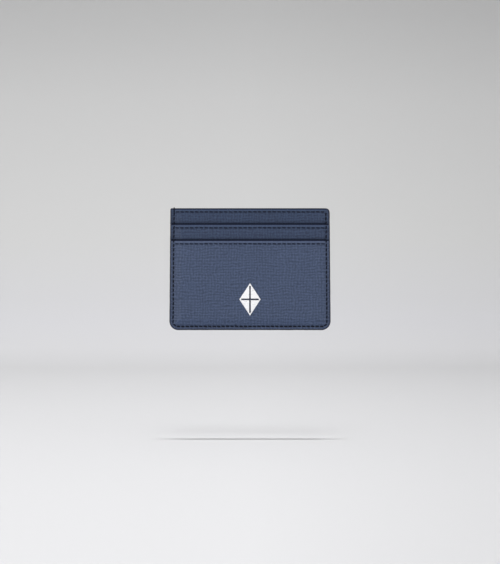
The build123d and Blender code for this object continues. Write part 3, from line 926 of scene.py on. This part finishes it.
def emblem():
    low, high = EMBLEM_BOX
    enamel_low, enamel_high = box("emblem_enamel")
    centre = (low[2] + high[2]) / 2
    half_x, half_z = high[0], (high[2] - low[2]) / 2
    base_face = -enamel_high[1]
    facet_face = -low[1]
    seat = POCKET.face + 0.05
    lozenge = [(half_x, centre), (0, centre + half_z), (-half_x, centre), (0, centre - half_z)]
    blocks = [(lozenge, seat - 0.25, base_face)]
    gap = 0.55
    rim = 0.42
    slope = half_z / half_x
    inner_x = half_x - rim - 0.12
    inner_z = inner_x * slope
    for sx in (1, -1):
        for sz in (1, -1):
            reach_x = inner_x - gap / slope
            reach_z = inner_z - gap * slope
            corner = [(gap, gap), (reach_x, gap), (gap, reach_z)]
            outline = [(sx * x, centre + sz * z) for x, z in corner]

            def tilt(x, z):
                return -0.36 * (abs(x) / half_x + abs(z - centre) / half_z) + 0.10

            blocks.append((outline, base_face - 0.1, facet_face, tilt))
    bevelled("emblem_plate_metal", blocks, 0.10, 3, METAL, "emblem_plate")
    line, arm_x, arm_z = gap - 0.04, inner_x - 0.6, inner_z - 0.9
    quarter = [(arm_x, line), (line, line), (line, arm_z)]
    turned = [(-x, z) for x, z in reversed(quarter)]
    outline = quarter + turned + [(-x, -z) for x, z in quarter] + [(-x, -z) for x, z in turned]
    cross = [([(x, centre + z) for x, z in outline], base_face - 0.05, -enamel_low[1])]
    bevelled("emblem_enamel_cross", cross, 0.05, 2, ENAMEL, "emblem_enamel")
    low, high = box("emblem_washer")
    x, z0, z1 = high[0], low[2], high[2]
    cut = 1.0
    right = [(x, z0 + cut), (x, z1 - cut), (x - cut, z1)]
    left = [(-x + cut, z1), (-x, z1 - cut), (-x, z0 + cut)]
    outline = right + left + [(-x + cut, z0), (x - cut, z0)]
    layers = [(outline, -high[1], -low[1])]
    bevelled("emblem_washer_plate", layers, 0.04, 2, STEEL, "emblem_washer")


# ---------------------------------------------------------------- the holder


def half(side_name):
    """Every piece of one half."""
    side = SIDES[side_name]
    for number, panel in enumerate((LEAF, UPPER, POCKET)):
        leather(side_name, panel)
        node = f"{side_name}_{panel.name}_hem_thread"
        stitches(
            node + "_row", side, hem_line(panel), lambda x, z, p=panel: calm_face(p, x, z), node,
            HEM_THREAD, slant=0.05, seed=number + 10 * (side + 1),
        )
    node = f"{side_name}_seam_thread"
    stitches(
        node + "_row", side, SEAM_HOLES, outer_face, node, SEAM_THREAD, slant=0.08, seed=40 + side,
        wraps_top=side_name == "front",
    )
    low, high = box(f"{side_name}_upper_pocket_base_thread")
    radius = (high[2] - low[2]) / 2
    depth = max(abs(low[1]), abs(high[1])) - radius
    x = np.linspace(low[0] + radius, high[0] - radius, 27)
    base_holes = np.stack([x, np.full_like(x, (low[2] + high[2]) / 2)], 1)
    node = f"{side_name}_upper_pocket_base_thread"
    stitches(
        node + "_row", side, base_holes, lambda x, z: np.full_like(x, depth), node,
        HEM_THREAD, seed=50 + side,
    )
    layers = {
        "leaf_board": (BOARD, "card_board"),
        "upper_pocket_body": (LINING, "pocket_fabric"),
        "upper_pocket_tape": (LINING, "pocket_fabric"),
        "pocket_lining": (LINING, "pocket_fabric"),
        "pocket_stiffener": (BOARD, "card_board"),
    }
    for layer, (material, slot) in layers.items():
        node = f"{side_name}_{layer}"
        soft_plate(node + "_sheet", node, material)
    leaf_lining(side_name)
    base_tape(side_name)
    for place, top, depth in (
        ("inner", UPPER.high - 0.3, (LEAF.seam, UPPER.seam - LEATHER)),
        ("outer", POCKET.high - 0.3, (UPPER.seam, POCKET.seam - LEATHER)),
    ):
        node = f"{side_name}_{place}_edge_filler"
        seam_strip(side_name, node, top, *depth, BONDED, "bonded_leather")


def leaf_lining(side_name):
    """Fabric wall of the middle pocket, closed in with the seam."""
    side = SIDES[side_name]
    node = f"{side_name}_leaf_lining"
    low, high = box(node)
    outer = max(abs(low[1]), abs(high[1]))
    heights = spaced(PAINT + 0.4, HEIGHT - FLAP, 1.0)
    shares = spaced(0, 1, 1.0 / 98)
    z = np.repeat(heights[:, None], len(shares), 1)
    reach = half_width(z) - 0.6
    reach = reach - corner_pull(z, BOTTOM_CORNER - 0.6, heights[0], 0, False)
    x = -reach + 2 * reach * shares[None, :]
    inset = inset_from_edge(x, z)
    up = smooth((inset - SEAM_WIDTH) / (FIELD_INSET - SEAM_WIDTH))
    inner = 0.012 + (outer - 0.15) * up + 0.03 * noise(x * 0.12, z * 0.12) * up
    top = np.stack([x, side * (inner + 0.14), z], -1)
    under = np.stack([x, side * inner, z], -1)[::-1]
    points = np.concatenate([top, under])
    faces = outward(grid_faces(len(points), len(shares), wrap_rows=True), -side)
    made = make_object(node + "_sheet", points.reshape(-1, 3), faces)
    return finish_piece(made, LINING, node)


def base_tape(side_name):
    """Tape bent from the upper pocket's body in to the leaf."""
    side = SIDES[side_name]
    node = f"{side_name}_upper_pocket_base_tape"
    low, high = box(node)
    near, far = sorted((abs(low[1]), abs(high[1])))
    heights = spaced(low[2], high[2], 0.5)
    bend = smooth((heights - low[2] - 3.0) / 3.5)
    depth = near + 0.15 + (far - near - 0.15) * bend
    x = spaced(low[0], high[0], 1.0)
    z = np.repeat(heights[:, None], len(x), 1)
    outer = np.repeat(depth[:, None], len(x), 1) + 0.015 * noise(x[None, :] * 0.3, z * 0.3)
    outer = np.minimum(outer, far)
    top = np.stack([np.repeat(x[None, :], len(heights), 0), side * outer, z], -1)
    under = np.stack([top[..., 0], side * (outer - 0.14), z], -1)[::-1]
    points = np.concatenate([top, under])
    faces = outward(grid_faces(len(points), len(x), wrap_rows=True), -side)
    made = make_object(node + "_strip", points.reshape(-1, 3), faces)
    return finish_piece(made, LINING, node)


for side_name in SIDES:
    half(side_name)
edge_bead()
emblem()

# ---------------------------------------------------------------- stage, light and camera

IMAGE_WIDTH = 310.9
LOOK_HEIGHT = 30.0
CAMERA_DISTANCE = 1200.0
FLOOR = -68.0
WALL = 1500.0
BLUE_HEIGHT = -20.0


def backdrop_material():
    """Pale paper with painted shade: grey at the top, near white at the floor, darker towards the right, and
    a touch of blue where the two meet.
    """
    s = Shader("backdrop")
    where = s.add("ShaderNodeNewGeometry").outputs["Position"]
    split = s.add("ShaderNodeSeparateXYZ", {"Vector": where})
    # Painted shade: the paper darkens upwards, away from the floor.
    height = s.ramp(split.outputs["Z"], FLOOR * MM, 0.45)
    ramp = s.add("ShaderNodeValToRGB", {"Fac": height})
    stops = [(0.0, 0.485), (0.035, 0.50), (0.15, 0.467), (0.275, 0.453), (0.40, 0.445)]
    stops += [(0.68, 0.427), (1.0, 0.37)]
    elements = ramp.color_ramp.elements
    while len(elements) < len(stops):
        elements.new(0.5)
    for element, (place, grey) in zip(elements, stops):
        element.position = place
        element.color = (grey, grey, grey, 1)
    # Painted shade: the paper darkens towards the right.
    away = s.math("ADD", split.outputs["Y"], CAMERA_DISTANCE * MM)
    dimmed = s.ramp(s.math("DIVIDE", split.outputs["X"], away), 0.0, 0.12, 1.0, 0.90)
    shade = s.mix(1.0, ramp.outputs["Color"], dimmed, "MULTIPLY")
    from_blue = s.math("SUBTRACT", split.outputs["Z"], BLUE_HEIGHT * MM)
    blue = s.ramp(s.math("ABSOLUTE", from_blue), 0.0, 0.11, 1.0, 0.0)
    shade = s.mix(blue, shade, (0.985, 0.985, 1.02, 1), "MULTIPLY")
    fibre = s.noise((60, 60, 60), 4.0)
    shade = s.mix(s.ramp(fibre, 0.3, 0.7, 0.0, 0.02), shade, (0.5, 0.5, 0.5, 1))
    return s.set(Base_Color=shade, Roughness=0.9, Specular_IOR_Level=0.1)


def backdrop():
    """Floor that curves up into a wall."""
    radius = 500.0
    profile = [(-2500.0, FLOOR), (WALL - radius, FLOOR)]
    for a in np.linspace(0, math.pi / 2, 25)[1:]:
        profile.append((WALL - radius + radius * math.sin(a), FLOOR + radius * (1 - math.cos(a))))
    profile.append((WALL, 2500.0))
    points = [(x, y, z) for y, z in profile for x in (-2500.0, 2500.0)]
    made = make_object("backdrop", points, grid_faces(len(profile), 2))
    made.data.materials.append(backdrop_material())
    return made


def soft_light(name, place, aim, size, power, shape_y=None):
    light = bpy.data.lights.new(name, "AREA")
    light.shape = "RECTANGLE"
    light.size = size
    light.size_y = shape_y or size
    light.energy = power
    made = bpy.data.objects.new(name, light)
    made.location = place
    made.rotation_euler = (Vector(aim) - Vector(place)).to_track_quat("-Z", "Y").to_euler()
    bpy.context.scene.collection.objects.link(made)
    return made


def lights(floor):
    """Soft light from the front, and a light above for the floor, where the holder's thin shadow falls."""
    above = soft_light("above", (0.0, 0.0, 3.0), (0, 0, 0), 0.88, 75.0, 0.09)
    only_floor = bpy.data.collections.new("only_floor")
    only_floor.objects.link(floor)
    above.light_linking.receiver_collection = only_floor
    soft_light("top_front", (0.0, -0.6, 0.9), (0, 0, 0.03), 0.3, 1.0)
    soft_light("front_left", (-0.8, -1.3, 0.05), (0, 0, 0.03), 0.6, 8.0)
    soft_light("front_right", (0.8, -1.4, -0.02), (0, 0, 0.03), 0.6, 6.5)
    world = bpy.data.worlds.new("room")
    world.use_nodes = True
    world.node_tree.nodes["Background"].inputs["Color"].default_value = (1, 1, 1, 1)
    world.node_tree.nodes["Background"].inputs["Strength"].default_value = 0.75
    bpy.context.scene.world = world


def camera():
    sensor = 36.0
    data = bpy.data.cameras.new("camera")
    data.sensor_width = sensor
    data.sensor_fit = "HORIZONTAL"
    data.lens = sensor * CAMERA_DISTANCE / IMAGE_WIDTH
    made = bpy.data.objects.new("camera", data)
    made.location = (0, POCKET_BOX[0][1] * MM - CAMERA_DISTANCE * MM, LOOK_HEIGHT * MM)
    made.rotation_euler = (math.pi / 2, 0, 0)
    bpy.context.scene.collection.objects.link(made)
    bpy.context.scene.camera = made


lights(backdrop())
camera()
bpy.context.scene.view_settings.view_transform = "Standard"
